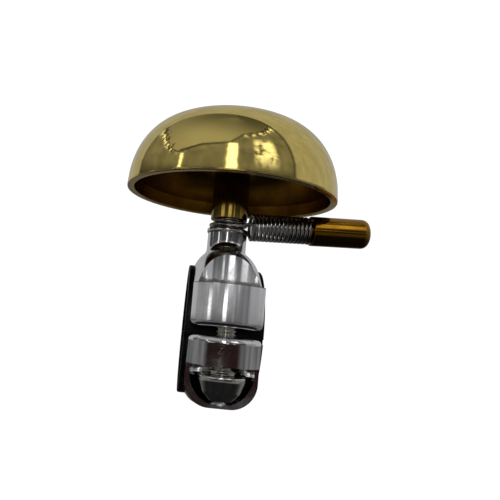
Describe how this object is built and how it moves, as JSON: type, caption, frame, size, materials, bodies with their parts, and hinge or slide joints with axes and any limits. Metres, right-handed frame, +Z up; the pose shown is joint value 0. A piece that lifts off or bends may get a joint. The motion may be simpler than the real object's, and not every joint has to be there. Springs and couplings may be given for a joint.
{
  "type": "bicycle bell",
  "caption": "Brass dome bell on a round post with a spring-mounted brass striker and a hinged, bolted handlebar clamp with a rubber liner",
  "frame": {"origin": "centre of the handlebar bore, half way along the liner", "axes": "+X along the handlebar, +Z up the bell's post, -Y towards the clamp ears and bolt"},
  "size_m": [0.0534, 0.045, 0.0618],
  "materials": {
    "brass": "polished, lacquered",
    "amber_brass": "polished",
    "aluminium": "mirror polished",
    "spring_wire": "drawn wire",
    "steel": "zinc plated",
    "nickel": "nickel plated",
    "liner": "matte",
    "nylon": "natural"
  },
  "bodies": {
    "clamp": {"clamp_upper": "aluminium", "liner_upper": "liner", "hinge_pin": "steel", "hinge_shims": "nylon", "swivel_washer": "nickel", "swivel_spacer": "steel", "post": "brass", "dome": "brass", "dome_bush": "nylon", "top_washer": "steel", "dome_screw": "steel"},
    "jaw": {"clamp_lower": "aluminium", "liner_lower": "liner"},
    "bolt": {"clamp_bolt": "nickel"},
    "nut": {"domed_nut": "nickel", "lock_ring": "nickel"},
    "striker": {"striker_spring": "spring_wire"},
    "hammer": {"hammer": "amber_brass"}
  },
  "joints": [
    {"name": "nut_travel", "type": "slide", "parent": "clamp", "child": "nut", "axis": [0, 0, 1], "range_m": [-0.0004, 0.0015]},
    {"name": "bolt_turn", "type": "hinge", "parent": "clamp", "child": "bolt", "pos_m": [0, -0.0162, 0], "axis": [0, 0, -1], "range_deg": [-207, 773]},
    {"name": "jaw_close", "type": "hinge", "parent": "clamp", "child": "jaw", "pos_m": [0, 0.0165, 0], "axis": [-1, 0, 0], "range_deg": [-0.39, 1.44]},
    {"name": "striker_swivel", "type": "hinge", "parent": "clamp", "child": "striker", "pos_m": [0, 0, 0.022], "axis": [0, 0, 1], "continuous": true},
    {"name": "hammer_flick", "type": "hinge", "parent": "striker", "child": "hammer", "pos_m": [0.0054, -0.0012, 0.02236], "axis": [0.1219, -0.9925, 0], "range_deg": [-20, 5.5], "stiffness_Nm_per_rad": 0.05, "springref_deg": 0.79, "deforming": ["striker_spring"]}
  ],
  "couplings": [
    {"joint": "bolt_turn", "follows": "nut_travel", "rad_per_m": 8976},
    {"joint": "jaw_close", "follows": "nut_travel", "rad_per_m": 16.56}
  ]
}
